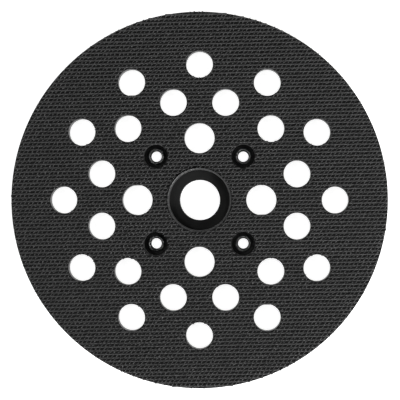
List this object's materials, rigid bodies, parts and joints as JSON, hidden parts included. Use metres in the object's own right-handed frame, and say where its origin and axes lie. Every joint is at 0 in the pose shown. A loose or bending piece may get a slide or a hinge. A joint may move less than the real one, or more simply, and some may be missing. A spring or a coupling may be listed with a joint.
{
  "type": "sander backing pad",
  "caption": "Round hook-and-loop backing pad for a random orbital sander: hook sheet, foam cushion and moulded plate with dust holes, screw wells and a centre bore.",
  "frame": {"origin": "centre of the drive-side seat, on the pad's axis", "axes": "+Z along the pad's axis, out of the hook face; +X through an air hole of the outer ring"},
  "size_m": [0.125, 0.125, 0.017],
  "materials": {
    "hook_sheet": "matt black nylon hooks",
    "foam": "black polyurethane foam with a smooth moulded skin",
    "plate": "black glass-filled nylon, satin",
    "eyelet": "black plated steel"
  },
  "bodies": {
    "root": {"hook_facing": "hook_sheet", "foam_cushion": "foam", "backing_plate": "plate", "screw_eyelets": "eyelet"}
  },
  "joints": []
}
